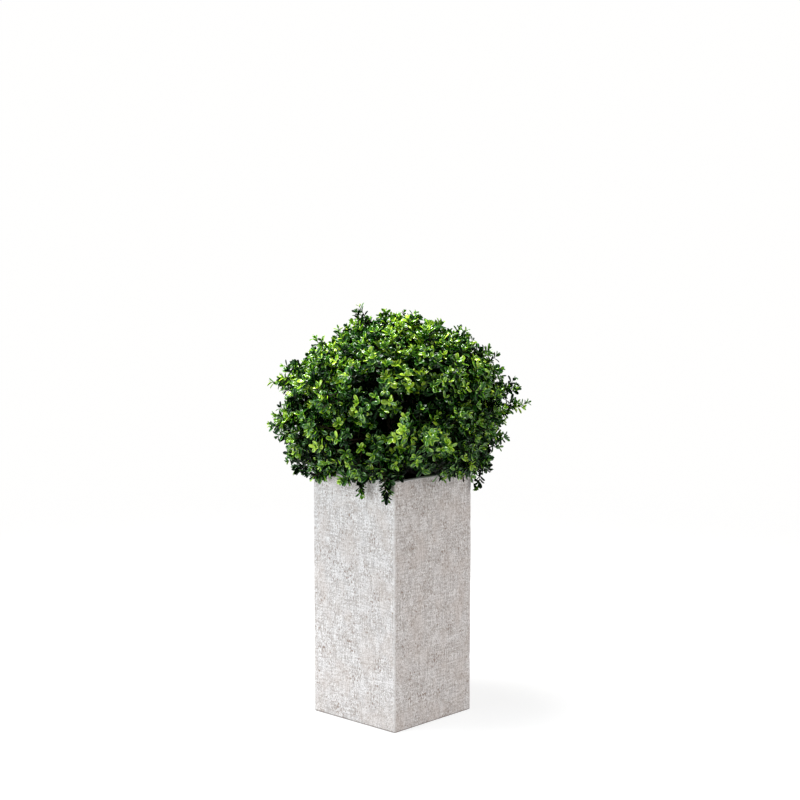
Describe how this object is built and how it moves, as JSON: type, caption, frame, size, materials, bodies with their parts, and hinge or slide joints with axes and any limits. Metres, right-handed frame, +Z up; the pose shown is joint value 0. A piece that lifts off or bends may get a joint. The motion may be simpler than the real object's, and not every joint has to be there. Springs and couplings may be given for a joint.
{
  "type": "potted box topiary ball",
  "caption": "Dense rounded box shrub growing in a tall square stone-look planter, for a doorway, terrace or patio.",
  "frame": {"origin": "centre of the planter's flat underside, on the floor", "axes": "+Z up along the planter and through the crown; X and Y square to the planter's sides"},
  "size_m": [0.6185, 0.6414, 1.108],
  "materials": {
    "planter": "matte",
    "soil": "matte",
    "bark": "matte",
    "foliage": "satin"
  },
  "bodies": {
    "root": {"planter": "planter", "soil": "soil", "stem": "bark", "bough_top": "bark", "foliage_top": "foliage", "bough_shoulder_1": "bark", "foliage_shoulder_1": "foliage", "bough_shoulder_2": "bark", "foliage_shoulder_2": "foliage", "bough_shoulder_3": "bark", "foliage_shoulder_3": "foliage", "bough_shoulder_4": "bark", "foliage_shoulder_4": "foliage", "bough_shoulder_5": "bark", "foliage_shoulder_5": "foliage", "bough_skirt_1": "bark", "foliage_skirt_1": "foliage", "bough_skirt_2": "bark", "foliage_skirt_2": "foliage", "bough_skirt_3": "bark", "foliage_skirt_3": "foliage", "bough_skirt_4": "bark", "foliage_skirt_4": "foliage", "bough_skirt_5": "bark", "foliage_skirt_5": "foliage", "bough_skirt_6": "bark", "foliage_skirt_6": "foliage"}
  },
  "joints": []
}
